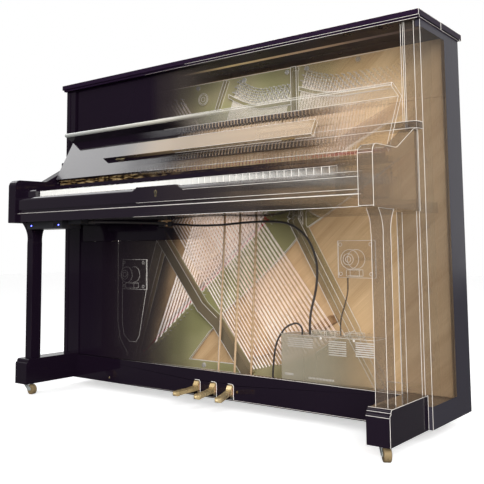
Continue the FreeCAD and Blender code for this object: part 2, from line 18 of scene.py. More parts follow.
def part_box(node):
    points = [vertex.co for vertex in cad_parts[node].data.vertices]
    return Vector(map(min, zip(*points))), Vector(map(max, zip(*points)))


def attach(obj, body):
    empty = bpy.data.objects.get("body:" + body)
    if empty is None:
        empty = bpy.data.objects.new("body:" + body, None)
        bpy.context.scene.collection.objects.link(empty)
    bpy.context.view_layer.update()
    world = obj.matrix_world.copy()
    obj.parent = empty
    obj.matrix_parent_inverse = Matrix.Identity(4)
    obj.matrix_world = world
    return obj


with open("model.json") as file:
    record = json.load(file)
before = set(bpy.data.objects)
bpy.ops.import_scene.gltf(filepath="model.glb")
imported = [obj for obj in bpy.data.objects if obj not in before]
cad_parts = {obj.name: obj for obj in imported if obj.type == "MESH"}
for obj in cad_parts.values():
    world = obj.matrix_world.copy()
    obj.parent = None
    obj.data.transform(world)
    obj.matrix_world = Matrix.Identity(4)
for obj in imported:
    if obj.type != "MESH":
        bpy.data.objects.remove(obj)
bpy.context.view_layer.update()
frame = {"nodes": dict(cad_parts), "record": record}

NODES = frame["nodes"]
BODY_OF = {node: body for body, nodes in frame["record"]["behaviour"]["bodies"].items()
           for node in nodes}

LINE = 0.0006                 # radius of a pale edge line
FINE_LINE = 0.0005
X, Y, Z = 0, 1, 2


# ---------------------------------------------------------------- camera
def make_camera():
    azimuth, pitch, roll = math.radians(39.1), math.radians(5.48), math.radians(-0.197)
    data = bpy.data.cameras.new("camera")
    data.sensor_width, data.lens = 36.0, 54.21
    data.shift_x, data.shift_y = 0.0971, -0.1219
    data.clip_start, data.clip_end = 0.05, 60.0
    forward = Vector((-math.sin(azimuth) * math.cos(pitch),
                      math.cos(azimuth) * math.cos(pitch), math.sin(pitch)))
    level = Vector((math.cos(azimuth), math.sin(azimuth), 0.0))
    above = level.cross(forward)
    right = level * math.cos(roll) + above * math.sin(roll)
    up = above * math.cos(roll) - level * math.sin(roll)
    camera = bpy.data.objects.new("camera", data)
    bpy.context.scene.collection.objects.link(camera)
    camera.matrix_world = (Matrix.Translation((1.5322, -1.9895, 0.5202))
                           @ Matrix((right, up, -forward)).transposed().to_4x4())
    bpy.context.scene.camera = camera


# ---------------------------------------------------------------- material helpers
def add(tree, kind, inputs=None, **settings):
    """A shader node; inputs are constants or sockets to link from."""
    node = tree.nodes.new("ShaderNode" + kind)
    for key, value in settings.items():
        setattr(node, key, value)
    for key, value in (inputs or {}).items():
        if isinstance(value, bpy.types.NodeSocket):
            tree.links.new(value, node.inputs[key])
        else:
            node.inputs[key].default_value = value
    return node


def principled(name, color, roughness, metallic=0.0, coat=0.0, **constants):
    material = bpy.data.materials.new(name)
    material.use_nodes = True
    tree = material.node_tree
    shader = tree.nodes["Principled BSDF"]
    shader.inputs["Base Color"].default_value = (*color, 1.0)
    shader.inputs["Roughness"].default_value = roughness
    shader.inputs["Metallic"].default_value = metallic
    shader.inputs["Coat Weight"].default_value = coat
    shader.inputs["Coat Roughness"].default_value = 0.04
    for key, value in constants.items():
        shader.inputs[key.replace("_", " ")].default_value = value
    return material, tree, shader


def place(tree):
    return add(tree, "TexCoord").outputs["Object"]


def along(tree, axis):
    split = add(tree, "SeparateXYZ", {0: place(tree)})
    return split.outputs[axis]


def ramp(tree, value, stops, smooth=True):
    """Colour or grey that follows value through (value, grey or colour) stops."""
    low, high = stops[0][0], stops[-1][0]
    share = add(tree, "MapRange", {"Value": value, "From Min": low, "From Max": high})
    node = add(tree, "ValToRGB", {0: share.outputs[0]})
    node.color_ramp.interpolation = "EASE" if smooth else "LINEAR"
    elements = node.color_ramp.elements
    while len(elements) < len(stops):
        elements.new(0.5)
    for element, (at, tone) in zip(elements, stops):
        element.position = (at - low) / (high - low)
        element.color = (*tone, 1.0) if isinstance(tone, tuple) else (tone, tone, tone, 1.0)
    return node.outputs[0]


def noise(tree, scale, detail=4.0, stretch=(1, 1, 1)):
    mapped = add(tree, "Mapping", {"Vector": place(tree), "Scale": stretch})
    return add(tree, "TexNoise", {"Vector": mapped.outputs[0], "Scale": scale,
                                  "Detail": detail}).outputs[0]


def bumped(tree, shader, height, distance, strength=0.5):
    bump = add(tree, "Bump", {"Height": height, "Strength": strength, "Distance": distance})
    tree.links.new(bump.outputs[0], shader.inputs["Normal"])


def varied(tree, shader, height, low, high):
    """Roughness that wanders between two values."""
    spread = add(tree, "MapRange", {"Value": height, "From Min": 0.3, "From Max": 0.7,
                                    "To Min": low, "To Max": high})
    tree.links.new(spread.outputs[0], shader.inputs["Roughness"])


def faded(tree, shader, stops):
    """Alpha that changes with X."""
    tree.links.new(ramp(tree, along(tree, X), stops), shader.inputs["Alpha"])


# ---------------------------------------------------------------- materials
BLACK = (0.0085, 0.0045, 0.0105)
# the right side's black is lighter than the front's: a painted reflection
SIDE_LIT_BLACK = (0.036, 0.033, 0.044)
LID_BLACK = (0.015, 0.0075, 0.020)
SMOKE = (0.095, 0.078, 0.066)
PALE = (0.80, 0.76, 0.71)


def lacquer(name, stops=None, clear_tint=SMOKE, shine=0.25, specular=0.32):
    """Polished black; where it turns clear it also turns a little brown."""
    material, tree, shader = principled(name, BLACK, 0.12, coat=shine,
                                        Specular_IOR_Level=specular)
    wave = noise(tree, 9.0)
    varied(tree, shader, wave, 0.06, 0.16)
    bumped(tree, shader, noise(tree, 5.0, 1.0), 0.0002, 0.12)
    if stops:
        faded(tree, shader, stops)
        tints = [(at, tuple(b + (s - b) * (1 - alpha) for b, s in zip(BLACK, clear_tint)))
                 for at, alpha in stops]
        tree.links.new(ramp(tree, along(tree, X), tints), shader.inputs["Base Color"])
    return material


def side_lacquer():
    """Clear inside a window on the outer face and all over the inner one, elsewhere a black made
    lighter than the front's as a painted reflection.
    """
    material, tree, shader = principled("lacquer_side", SIDE_LIT_BLACK, 0.2,
                                        Specular_IOR_Level=0.10)
    varied(tree, shader, noise(tree, 9.0), 0.15, 0.25)
    back, low, high, depth = 0.172, 0.102, 1.162, 0.740

    def test(socket, limit, operation):
        return add(tree, "Math", {0: socket, 1: limit}, operation=operation).outputs[0]

    window = test(test(along(tree, Y), back, "LESS_THAN"),
                  test(along(tree, Z), low, "GREATER_THAN"), "MULTIPLY")
    window = test(window, test(along(tree, Z), high, "LESS_THAN"), "MULTIPLY")
    clear = test(window, test(along(tree, X), depth, "LESS_THAN"), "MAXIMUM")
    alpha = add(tree, "MapRange", {"Value": clear, "To Min": 1.0, "To Max": 0.27})
    tree.links.new(alpha.outputs[0], shader.inputs["Alpha"])
    tone = add(tree, "Mix", {0: clear, 6: (*SIDE_LIT_BLACK, 1), 7: (*SMOKE, 1)}, data_type="RGBA")
    tree.links.new(tone.outputs[2], shader.inputs["Base Color"])
    return material


def rail_lacquer():
    """The rail under the fallboard is nearly black; the knee rail turns clear like the panel."""
    material, tree, shader = principled("lacquer_rail", BLACK, 0.12, coat=0.25,
                                        Specular_IOR_Level=0.32)
    varied(tree, shader, noise(tree, 9.0), 0.06, 0.16)
    knee = ramp(tree, along(tree, X), [(-0.25, 1.0), (-0.19, 0.6), (-0.10, 0.15), (0.0, 0.03)])
    upper = ramp(tree, along(tree, X), [(0.0, 1.0), (0.2, 0.8), (0.4, 0.4), (0.7, 0.2)])
    above = add(tree, "Math", {0: along(tree, Z), 1: 0.70}, operation="GREATER_THAN")
    alpha = add(tree, "Mix", {0: above.outputs[0], 2: knee, 3: upper})
    tree.links.new(alpha.outputs[0], shader.inputs["Alpha"])
    return material


def fall_lacquer():
    """The fallboard is a mirror; the end of its nose carries a painted highlight, one pale strip
    that glows a little.
    """
    material, tree, shader = principled("lacquer_fall", BLACK, 0.12, coat=1.0)
    varied(tree, shader, noise(tree, 9.0), 0.06, 0.16)
    # painted highlight: the end face of the nose is pale and glows
    tip = add(tree, "MapRange", {"Value": along(tree, Y), "From Min": -0.0702,
                                 "From Max": -0.0712}).outputs[0]
    nose = add(tree, "Math", {0: along(tree, Z), 1: 0.975}, operation="GREATER_THAN").outputs[0]
    end = add(tree, "Math", {0: tip, 1: nose}, operation="MULTIPLY").outputs[0]
    pale = ramp(tree, along(tree, X), [(-0.70, (0.36, 0.37, 0.35)), (-0.10, (0.42, 0.40, 0.34))])
    tone = add(tree, "Mix", {0: end, 6: (*BLACK, 1), 7: pale}, data_type="RGBA").outputs[2]
    tree.links.new(tone, shader.inputs["Base Color"])
    tree.links.new(tone, shader.inputs["Emission Color"])
    glow = add(tree, "MapRange", {"Value": end, "To Max": 0.2})
    tree.links.new(glow.outputs[0], shader.inputs["Emission Strength"])
    board = ramp(tree, along(tree, X), [(-0.40, 1.0), (-0.22, 0.6), (-0.05, 0.12), (0.1, 0.05),
                                        (0.7, 0.04)])
    strip = ramp(tree, along(tree, X), [(-0.20, 1.0), (0.0, 0.6), (0.15, 0.15), (0.7, 0.05)])
    alpha = add(tree, "Mix", {0: end, 2: board, 3: strip})
    tree.links.new(alpha.outputs[0], shader.inputs["Alpha"])
    return material


def lid_lacquer():
    """Matt black under the lid, with a painted reflection along its underside: a brown strip that
    glows.
    """
    material, tree, shader = principled("lacquer_lid", LID_BLACK, 0.3, Specular_IOR_Level=0.04)
    varied(tree, shader, noise(tree, 9.0), 0.25, 0.35)

    def test(socket, limit, operation):
        return add(tree, "Math", {0: socket, 1: limit}, operation=operation).outputs[0]

    # painted reflection: a brown band on the underside, lit by its own glow, fading to black
    # towards each end
    reflection_strip = test(test(along(tree, Y), 0.058, "GREATER_THAN"),
                      test(along(tree, Y), 0.080, "LESS_THAN"), "MULTIPLY")
    under = test(along(tree, Z), 1.1845, "LESS_THAN")
    tone = ramp(tree, along(tree, X), [(-0.25, LID_BLACK), (0.05, (0.30, 0.22, 0.11)),
                                       (0.30, (0.24, 0.16, 0.10)), (0.62, (0.05, 0.035, 0.035))])
    mask = test(reflection_strip, under, "MULTIPLY")
    paint = add(tree, "Mix", {0: mask, 6: (*LID_BLACK, 1), 7: tone}, data_type="RGBA").outputs[2]
    tree.links.new(paint, shader.inputs["Base Color"])
    tree.links.new(paint, shader.inputs["Emission Color"])
    glow = add(tree, "MapRange", {"Value": mask, "To Max": 0.8})
    tree.links.new(glow.outputs[0], shader.inputs["Emission Strength"])
    return material


def boards(name, light, dark, slope, plank, roughness=0.42, stops=None):
    """Varnished softwood: fine grain along a slanted line, with planks that differ a little."""
    material, tree, shader = principled(name, light, roughness, coat=0.25)
    turned = add(tree, "Mapping", {"Vector": place(tree),
                                   "Rotation": (0, math.radians(slope), 0)})
    stretched = add(tree, "Mapping", {"Vector": turned.outputs[0], "Scale": (1.2, 20, 70)})
    grain = add(tree, "TexNoise", {"Vector": stretched.outputs[0], "Scale": 5.0,
                                   "Detail": 5.0}).outputs[0]
    wide = add(tree, "Mapping", {"Vector": turned.outputs[0], "Scale": (0.5, 1, 1 / plank)})
    broad = add(tree, "TexNoise", {"Vector": wide.outputs[0], "Scale": 1.0,
                                   "Detail": 2.0}).outputs[0]
    mixed = add(tree, "Mix", {0: 0.6, 2: grain, 3: broad})
    tone = ramp(tree, mixed.outputs[0], [(0.36, dark), (0.5, tuple((a + b) / 2 for a, b in
                                         zip(light, dark))), (0.62, light)])
    tree.links.new(tone, shader.inputs["Base Color"])
    bumped(tree, shader, grain, 0.0002, 0.3)
    if stops:
        faded(tree, shader, stops)
    return material


def soundboard_wood():
    """Spruce, with painted shade: the cut-off bass corner behind the plate's strut is black on
    the board's front face, and the rest of the wood glows faintly as painted light.
    """
    material = boards("spruce_board", *TAN, slope=42, plank=0.045)
    tree = material.node_tree
    shader = tree.nodes["Principled BSDF"]
    grain = shader.inputs["Base Color"].links[0].from_socket
    # the strut runs from x -0.40 at z 0.56 to x -0.55 at z 0.12
    lean = add(tree, "Math", {0: along(tree, Z), 1: 0.341, 2: -0.591},
               operation="MULTIPLY_ADD").outputs[0]
    past = add(tree, "Math", {0: along(tree, X), 1: lean}, operation="SUBTRACT").outputs[0]
    unshaded = add(tree, "MapRange", {"Value": past, "From Min": 0.0, "From Max": 0.06}).outputs[0]
    low = add(tree, "Math", {0: along(tree, Z), 1: 0.62}, operation="GREATER_THAN").outputs[0]
    unshaded = add(tree, "Math", {0: unshaded, 1: low}, operation="MAXIMUM").outputs[0]
    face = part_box("soundboard")[0].y + 0.002
    back = add(tree, "Math", {0: along(tree, Y), 1: face}, operation="GREATER_THAN").outputs[0]
    unshaded = add(tree, "Math", {0: unshaded, 1: back}, operation="MAXIMUM").outputs[0]
    # painted shade: black left of the strut line and below 0.62 m on the front face; painted
    # light: the unshaded wood glows
    tone = add(tree, "Mix", {0: unshaded, 6: (*BLACK, 1), 7: grain}, data_type="RGBA").outputs[2]
    tree.links.new(tone, shader.inputs["Base Color"])
    glow = add(tree, "MapRange", {"Value": unshaded, "To Max": 0.10})
    tree.links.new(tone, shader.inputs["Emission Color"])
    tree.links.new(glow.outputs[0], shader.inputs["Emission Strength"])
    return material


def metal(name, color, roughness, stops=None, grain=60.0, depth=0.0001, metallic=1.0, dark=None,
          glow=0.0):
    material, tree, shader = principled(name, color, roughness, metallic, Emission_Strength=glow)
    shader.inputs["Emission Color"].default_value = (*color, 1.0)
    wander = noise(tree, grain, 3.0)
    varied(tree, shader, wander, roughness * 0.7, roughness * 1.3)
    bumped(tree, shader, wander, depth, 0.3)
    if dark:
        tree.links.new(ramp(tree, noise(tree, 6.0), [(0.35, dark), (0.65, color)]),
                       shader.inputs["Base Color"])
    if stops:
        faded(tree, shader, stops)
    return material


def treble_wire():
    """Steel wire that glows as painted light, most where it is seen through the dark end of the
    panel.
    """
    material = metal("steel_wire", (0.97, 0.90, 0.87), 0.35, metallic=0.2,
                     stops=[(0.2, 1.0), (0.36, 0.6), (0.5, 0.2), (0.62, 0.05)])
    tree = material.node_tree
    glow = add(tree, "MapRange", {"Value": along(tree, X), "From Min": -0.45, "From Max": -0.18,
                                  "To Min": 3.0, "To Max": 0.4})
    tree.links.new(glow.outputs[0], tree.nodes["Principled BSDF"].inputs["Emission Strength"])
    return material


def plate_paint():
    """Bronze paint on a sand casting: brown on the proud struts, olive on the web behind."""
    material, tree, shader = principled("plate_paint", (0.40, 0.37, 0.19), 0.42, 0.1, coat=0.15,
                                        Specular_IOR_Level=0.3)
    slow = noise(tree, 3.0, 2.0)
    web = ramp(tree, slow, [(0.35, (0.32, 0.31, 0.14)), (0.5, (0.40, 0.38, 0.19)),
                            (0.65, (0.46, 0.41, 0.24))])
    depth = ramp(tree, along(tree, Y), [(0.150, 0.0), (0.166, 0.12), (0.184, 0.75), (0.190, 1.0)])
    tone = add(tree, "Mix", {0: depth, 6: (0.19, 0.15, 0.095, 1), 7: web}, data_type="RGBA")
    tree.links.new(tone.outputs[2], shader.inputs["Base Color"])
    bumped(tree, shader, noise(tree, 260.0, 3.0), 0.0003, 0.35)
    faded(tree, shader, [(0.05, 1.0), (0.20, 0.65), (0.30, 0.32), (0.42, 0.10), (0.55, 0.03)])
    return material


def hinge_brass():
    """Brass in dark and bright patches, which fades out towards the treble side."""
    material, tree, shader = principled("hinge_brass", (0.80, 0.52, 0.20), 0.25, 0.8)
    patches = noise(tree, 38.0, 5.0, (1.0, 3.0, 3.0))
    tree.links.new(ramp(tree, patches, [(0.42, (0.03, 0.018, 0.012)), (0.50, (0.45, 0.27, 0.10)),
                                        (0.60, (0.90, 0.66, 0.34))]), shader.inputs["Base Color"])
    bumped(tree, shader, patches, 0.0003, 0.4)
    faded(tree, shader, [(-0.32, 1.0), (-0.18, 0.3), (0.0, 0.05)])
    return material


def felt(name, color, stops=None):
    material, tree, shader = principled(name, color, 0.95, Sheen_Weight=0.4)
    fuzz = noise(tree, 900.0, 3.0)
    darker = tuple(0.75 * c for c in color)
    tree.links.new(ramp(tree, fuzz, [(0.35, darker), (0.65, color)]), shader.inputs["Base Color"])
    bumped(tree, shader, fuzz, 0.0004, 0.5)
    if stops:
        faded(tree, shader, stops)
    return material


def by_height(name, bands, stops, roughness=0.6, sides=(0.62, 0.47, 0.32)):
    """Parts coloured in bands by height, with pale wood on the faces towards the side."""
    material, tree, shader = principled(name, bands[0][1], roughness)
    front = ramp(tree, along(tree, Z), bands, smooth=False)
    normal = add(tree, "SeparateXYZ", {0: add(tree, "NewGeometry").outputs["Normal"]})
    sideways = add(tree, "Math", {0: normal.outputs[X]}, operation="ABSOLUTE").outputs[0]
    tone = add(tree, "Mix", {0: sideways, 6: front, 7: (*sides, 1)}, data_type="RGBA").outputs[2]
    tree.links.new(tone, shader.inputs["Base Color"])
    bumped(tree, shader, noise(tree, 400.0), 0.0003, 0.4)
    faded(tree, shader, stops)
    return material


def plastic(name, color, roughness, stops=None, depth=0.00005):
    material, tree, shader = principled(name, color, roughness, coat=0.3)
    fine = noise(tree, 300.0, 3.0)
    varied(tree, shader, noise(tree, 12.0), roughness * 0.8, roughness * 1.2)
    bumped(tree, shader, fine, depth, 0.3)
    if stops:
        faded(tree, shader, stops)
    return material


# pale lines that glow a little: painted highlights drawn along edges
def line_paint(name, glow, stops=None):
    material, tree, shader = principled(name, PALE, 0.5, Emission_Strength=glow)
    tree.links.new(ramp(tree, noise(tree, 40.0), [(0.3, (0.70, 0.66, 0.62)), (0.7, PALE)]),
                   shader.inputs["Base Color"])
    shader.inputs["Emission Color"].default_value = (*PALE, 1.0)
    if stops:
        faded(tree, shader, stops)
    return material


def lamp(name, color, glow):
    material, _, shader = principled(name, color, 0.3, Emission_Strength=glow)
    shader.inputs["Emission Color"].default_value = (*color, 1.0)
    return material


INNER = [(0.10, 1.0), (0.28, 0.75), (0.38, 0.35), (0.47, 0.08), (0.62, 0.03)]
TAN = ((0.66, 0.46, 0.26), (0.50, 0.32, 0.165))

M = {
    "lacquer": lacquer("lacquer"),
    "upper": lacquer("lacquer_upper", [(-0.30, 1.0), (-0.21, 0.80), (-0.13, 0.38), (-0.04, 0.10),
                                       (0.05, 0.02)], shine=0.1, specular=0.15),
    "lower": lacquer("lacquer_lower", [(-0.62, 1.0), (-0.42, 0.92), (-0.34, 0.80), (-0.26, 0.50),
                                       (-0.17, 0.20), (-0.08, 0.05), (0.0, 0.03)], shine=0.1,
                     specular=0.15),
    "keybed": lacquer("lacquer_keybed", [(-0.1, 1.0), (0.15, 0.85), (0.33, 0.5), (0.5, 0.26),
                                         (0.7, 0.16)], shine=0.8, specular=0.4),
    "fall": fall_lacquer(),
    "clear": lacquer("lacquer_clear", [(-0.3, 1.0), (0.3, 0.34), (0.7, 0.34)],
                     clear_tint=(0.20, 0.15, 0.11), shine=0.0, specular=0.1),
    "ledge": lacquer("lacquer_ledge", [(-0.3, 1.0), (-0.1, 0.4), (0.1, 0.08), (0.62, 0.08),
                                       (0.69, 0.45)]),
    "rail": rail_lacquer(),
    "lid": lid_lacquer(),
    "side": side_lacquer(),
    "spruce": soundboard_wood(),
    "post_wood": boards("post_wood", (0.60, 0.44, 0.27), (0.45, 0.30, 0.17), slope=90, plank=0.2,
                        roughness=0.6),
    "bed_wood": boards("bed_wood", (0.60, 0.44, 0.27), (0.45, 0.30, 0.17), slope=0, plank=0.1,
                       roughness=0.6, stops=INNER),
    "bridge_wood": boards("bridge_wood", (0.50, 0.30, 0.15), (0.38, 0.22, 0.11), slope=-38,
                          plank=0.05, stops=[(0.0, 1.0), (0.3, 0.6), (0.6, 0.1)]),
    "plate": plate_paint(),
    # pale glowing lines on the plate's edges: painted highlights
    "plate_line": line_paint("plate_line", 0.2, stops=[(0.10, 0.9), (0.38, 0.8), (0.5, 0.4),
                                                       (0.62, 0.0)]),
    "pin": metal("pin_nickel", (0.80, 0.78, 0.74), 0.25, metallic=0.5,
                 stops=[(0.15, 1.0), (0.35, 0.5), (0.62, 0.06)]),
    "steel": treble_wire(),
    # the bass wire glows a little: painted light
    "copper": metal("copper_wire", (0.96, 0.86, 0.80), 0.30, metallic=0.3, glow=0.35,
                    dark=(0.86, 0.64, 0.52)),
    "brass": metal("brass", (0.86, 0.72, 0.44), 0.16, dark=(0.70, 0.52, 0.26)),
    "pedal": metal("pedal_brass", (0.80, 0.62, 0.34), 0.25, metallic=0.55,
                   dark=(0.52, 0.36, 0.16)),
    "wheel": metal("wheel_brass", (0.38, 0.28, 0.15), 0.35, metallic=0.4,
                   dark=(0.26, 0.18, 0.09)),
    "fork": metal("fork_steel", (0.52, 0.55, 0.54), 0.3, metallic=0.35,
                  dark=(0.36, 0.39, 0.39)),
    "hinge": hinge_brass(),
    "chrome": metal("chrome", (0.72, 0.74, 0.74), 0.12, dark=(0.55, 0.58, 0.57)),
    "ivory": plastic("key_white", (0.86, 0.85, 0.81), 0.18,
                     stops=[(-0.1, 1.0), (0.08, 0.75), (0.22, 0.35), (0.40, 0.12), (0.62, 0.04)]),
    "ebony": plastic("key_black", (0.015, 0.014, 0.015), 0.3,
                     stops=[(-0.2, 1.0), (0.1, 0.5), (0.3, 0.2), (0.5, 0.05)]),
    # dark bands across the heads' front and below them
    "hammer": by_height("hammer_mix", [(0.860, (0.05, 0.035, 0.025)), (0.892, (0.06, 0.04, 0.03)),
                                       (0.896, (0.50, 0.36, 0.24)), (0.966, (0.55, 0.40, 0.26)),
                                       (0.970, (0.05, 0.04, 0.035)), (0.990, (0.07, 0.055, 0.05)),
                                       (0.994, (0.70, 0.66, 0.58)), (1.0, (0.74, 0.70, 0.62))],
                        INNER),
    "damper": by_height("damper_mix", [(0.878, (0.30, 0.18, 0.10)), (0.925, (0.06, 0.05, 0.05)),
                                       (0.929, (0.04, 0.035, 0.035)), (0.96, (0.05, 0.05, 0.05))],
                        INNER),
    "action": boards("action_wood", (0.62, 0.45, 0.28), (0.46, 0.30, 0.17), slope=90, plank=0.02,
                     stops=INNER),
    "muffler": felt("muffler_felt", (0.70, 0.66, 0.58),
                    stops=[(-0.4, 0.5), (-0.05, 0.25), (0.15, 0.07), (0.4, 0.03)]),
    "red": felt("red_felt", (0.55, 0.03, 0.05), stops=[(0.2, 1.0), (0.5, 0.5), (0.62, 0.1)]),
    "red_solid": felt("red_felt_solid", (0.55, 0.03, 0.05)),
    "unit": plastic("unit_steel", (0.40, 0.36, 0.27), 0.5,
                    stops=[(0.25, 0.62), (0.36, 0.45), (0.5, 0.16), (0.57, 0.08)]),
    "driver": plastic("driver_steel", (0.05, 0.045, 0.05), 0.5,
                      stops=[(-0.5, 0.9), (0.1, 0.3), (0.5, 0.05)]),
    "panel": plastic("panel_black", (0.02, 0.02, 0.024), 0.45),
    "cable": plastic("cable_sheath", (0.045, 0.04, 0.04), 0.4,
                     stops=[(0.2, 1.0), (0.36, 0.8), (0.5, 0.4)]),
    # the edge lines are pale and glow: painted highlights; edge_line_inner glows strongest
    "line": line_paint("edge_line", 0.12, stops=[(-0.45, 0.0), (-0.1, 0.55), (0.2, 1.0)]),
    "line_full": line_paint("edge_line_full", 0.12),
    # painted highlight along the lip where the key slip meets the keybed
    "lip_highlight": line_paint("slip_lip_highlight", 0.05, stops=[(-0.70, 0.45), (0.0, 0.7), (0.3, 1.0)]),
    "line_inner": line_paint("edge_line_inner", 13.0),
    "vent": line_paint("vent_slats", 0.0, stops=[(0.30, 0.35), (0.45, 0.5), (0.52, 0.9)]),
    "led": lamp("led_blue", (0.08, 0.10, 1.0), 14.0),
}


def shelf_material():
    """The folded shelf: black on the bass side, a clear tan panel on the treble side."""
    material, tree, shader = principled("lacquer_shelf", BLACK, 0.12, coat=1.0)
    varied(tree, shader, noise(tree, 9.0), 0.06, 0.16)
    tree.links.new(ramp(tree, along(tree, X), [(-0.38, BLACK), (-0.12, (0.26, 0.18, 0.10)),
                                               (0.5, (0.44, 0.30, 0.165))]),
                   shader.inputs["Base Color"])
    faded(tree, shader, [(-0.3, 1.0), (0.0, 0.75), (0.45, 0.55)])
    return material


M["shelf"] = shelf_material()

LOOKS = {
    "upper_panel": "upper", "lower_panel": "lower", "panel_ledge": "ledge", "keybed": "keybed",
    "key_slip": "keybed", "key_blocks": "keybed", "cross_rails": "rail",
    "top_lid_front": "lid", "top_lid_rear": "lid", "fallboard": "fall",
    "music_shelf": "shelf", "arm_right": "clear", "leg_right": "clear",
    "side_panel_right": "side", "soundboard": "spruce", "pin_block": "spruce",
    "back_frame": "post_wood", "bottom_board": "post_wood", "key_frame": "bed_wood",
    "bridges": "bridge_wood", "iron_plate": "plate", "tuning_pins": "pin",
    "treble_strings": "steel", "bass_strings": "copper", "hammers": "hammer",
    "dampers": "damper", "action_frame": "action", "muffler_rail": "muffler",
    "amplifier_box": "unit", "soundboard_drivers": "driver", "control_panel": "panel",
    "wiring_loom": "cable", "pedal_left": "pedal", "pedal_middle": "pedal",
    "pedal_right": "pedal", "rear_caster_forks": "chrome",
}


def look_for(node):
    if node in LOOKS:
        return M[LOOKS[node]]
    if node.startswith("keys_"):
        return M["ebony" if node.endswith("sharp") else "ivory"]
    if "wheel" in node:
        return M["wheel"]
    if "fork" in node:
        return M["fork"]
    return M["lacquer"]


SOFTENED = ("side_panel_left", "side_panel_right", "bottom_rail", "key_blocks", "music_shelf",
            "fallboard", "pedal_left", "pedal_middle", "pedal_right", "iron_plate")


def dress_nodes():
    """Materials for the CAD nodes, and a small bevel on edges that the hand would feel."""
    for node, piece in NODES.items():
        piece.data.materials.clear()
        piece.data.materials.append(look_for(node))
        if node in SOFTENED or node.startswith("keys_"):
            weld = piece.modifiers.new("weld", "WELD")
            weld.merge_threshold = 0.00002
            bevel = piece.modifiers.new("bevel", "BEVEL")
            bevel.width = 0.0006 if node.startswith("keys_") else 0.0010
            bevel.segments = 2
            bevel.limit_method = "ANGLE"
            bevel.angle_limit = math.radians(35)
            bevel.use_clamp_overlap = True


# ---------------------------------------------------------------- piece helpers
def settle(piece, body):
    """Links a new piece, and gives it its body."""
    if piece.name not in bpy.context.scene.collection.objects:
        bpy.context.scene.collection.objects.link(piece)
    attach(piece, body)
    return piece


def lines(name, paths, material, body, radius=LINE):
    """Thin tubes along paths; a path is a list of points, closed if it ends where it starts."""
    data = bpy.data.curves.new(name, "CURVE")
    data.dimensions = "3D"
    data.bevel_depth = radius
    data.bevel_resolution = 1
    data.use_fill_caps = True
    for path in paths:
        closed = len(path) > 2 and (Vector(path[0]) - Vector(path[-1])).length < 1e-6
        points = path[:-1] if closed else path
        spline = data.splines.new("POLY")
        spline.points.add(len(points) - 1)
        for target, point in zip(spline.points, points):
            target.co = (*point, 1.0)
        spline.use_cyclic_u = closed
    data.materials.append(M[material])
    return settle(bpy.data.objects.new(name, data), body)


class Shape:
    """Several bevelled solids gathered in one mesh."""

    def __init__(self):
        self.mesh = bmesh.new()

    def box(self, low, high):
        low, high = Vector(low), Vector(high)
        size = high - low
        matrix = Matrix.Translation((low + high) / 2) @ Matrix.Diagonal((*size, 1.0))
        bmesh.ops.create_cube(self.mesh, size=1.0, matrix=matrix)

    def rod(self, start, end, radius, tip=None, sides=20):
        start, end = Vector(start), Vector(end)
        turn = (end - start).to_track_quat("Z", "Y").to_matrix().to_4x4()
        bmesh.ops.create_cone(self.mesh, cap_ends=True, segments=sides, radius1=radius,
                              radius2=radius if tip is None else tip,
                              depth=(end - start).length,
                              matrix=Matrix.Translation((start + end) / 2) @ turn)

    def done(self, name, material, body, slot, bevel=0.0):
        data = bpy.data.meshes.new(name)
        self.mesh.to_mesh(data)
        self.mesh.free()
        data.materials.append(M[material])
        for face in data.polygons:
            face.use_smooth = False
        piece = bpy.data.objects.new(name, data)
        bpy.context.scene.collection.objects.link(piece)
        if bevel:
            modifier = piece.modifiers.new("bevel", "BEVEL")
            modifier.width = bevel
            modifier.segments = 2
            modifier.limit_method = "ANGLE"
            modifier.angle_limit = math.radians(40)
        return settle(piece, body)


def section(node, axis, at, shown_at=None):
    """Closed outlines of a node in the plane axis = at, drawn in the plane shown_at."""
    mesh = bmesh.new()
    mesh.from_mesh(NODES[node].data)
    bmesh.ops.remove_doubles(mesh, verts=mesh.verts, dist=2e-5)
    normal = Vector((0, 0, 0))
    normal[axis] = 1.0
    bmesh.ops.bisect_plane(mesh, geom=mesh.verts[:] + mesh.edges[:] + mesh.faces[:],
                           plane_co=normal * at, plane_no=normal,
                           clear_inner=True, clear_outer=True)
    bmesh.ops.remove_doubles(mesh, verts=mesh.verts, dist=1e-5)
    left = set(mesh.edges)
    loops = []
    while left:
        edge = left.pop()
        loop = [edge.verts[0], edge.verts[1]]
        while loop[-1] is not loop[0]:
            onward = [e for e in loop[-1].link_edges if e in left]
            if not onward:
                break
            left.discard(onward[0])
            loop.append(onward[0].other_vert(loop[-1]))
        points = [v.co.copy() for v in loop]
        for point in points:
            point[axis] = at if shown_at is None else shown_at
        loops.append(straightened(points))
    mesh.free()
    return loops


def straightened(points, least=math.radians(2)):
    """The same path without the points in the middle of straight stretches."""
    kept = [points[0]]
    for point, after in zip(points[1:], points[2:]):
        if (point - kept[-1]).length < 1e-6 or (after - point).length < 1e-6:
            continue
        if (point - kept[-1]).angle(after - point) > least:
            kept.append(point)
    return kept + [points[-1]]


def sharp_edges(node, wanted, least=math.radians(40)):
    """Straight edges of a node where its faces meet at an angle, as two-point paths."""
    mesh = bmesh.new()
    mesh.from_mesh(NODES[node].data)
    bmesh.ops.remove_doubles(mesh, verts=mesh.verts, dist=2e-5)
    found = []
    for edge in mesh.edges:
        if len(edge.link_faces) == 2 and edge.calc_face_angle() > least:
            a, b = edge.verts[0].co.copy(), edge.verts[1].co.copy()
            if (a - b).length > 0.004 and wanted(a, b):
                found.append([a, b])
    mesh.free()
    return found


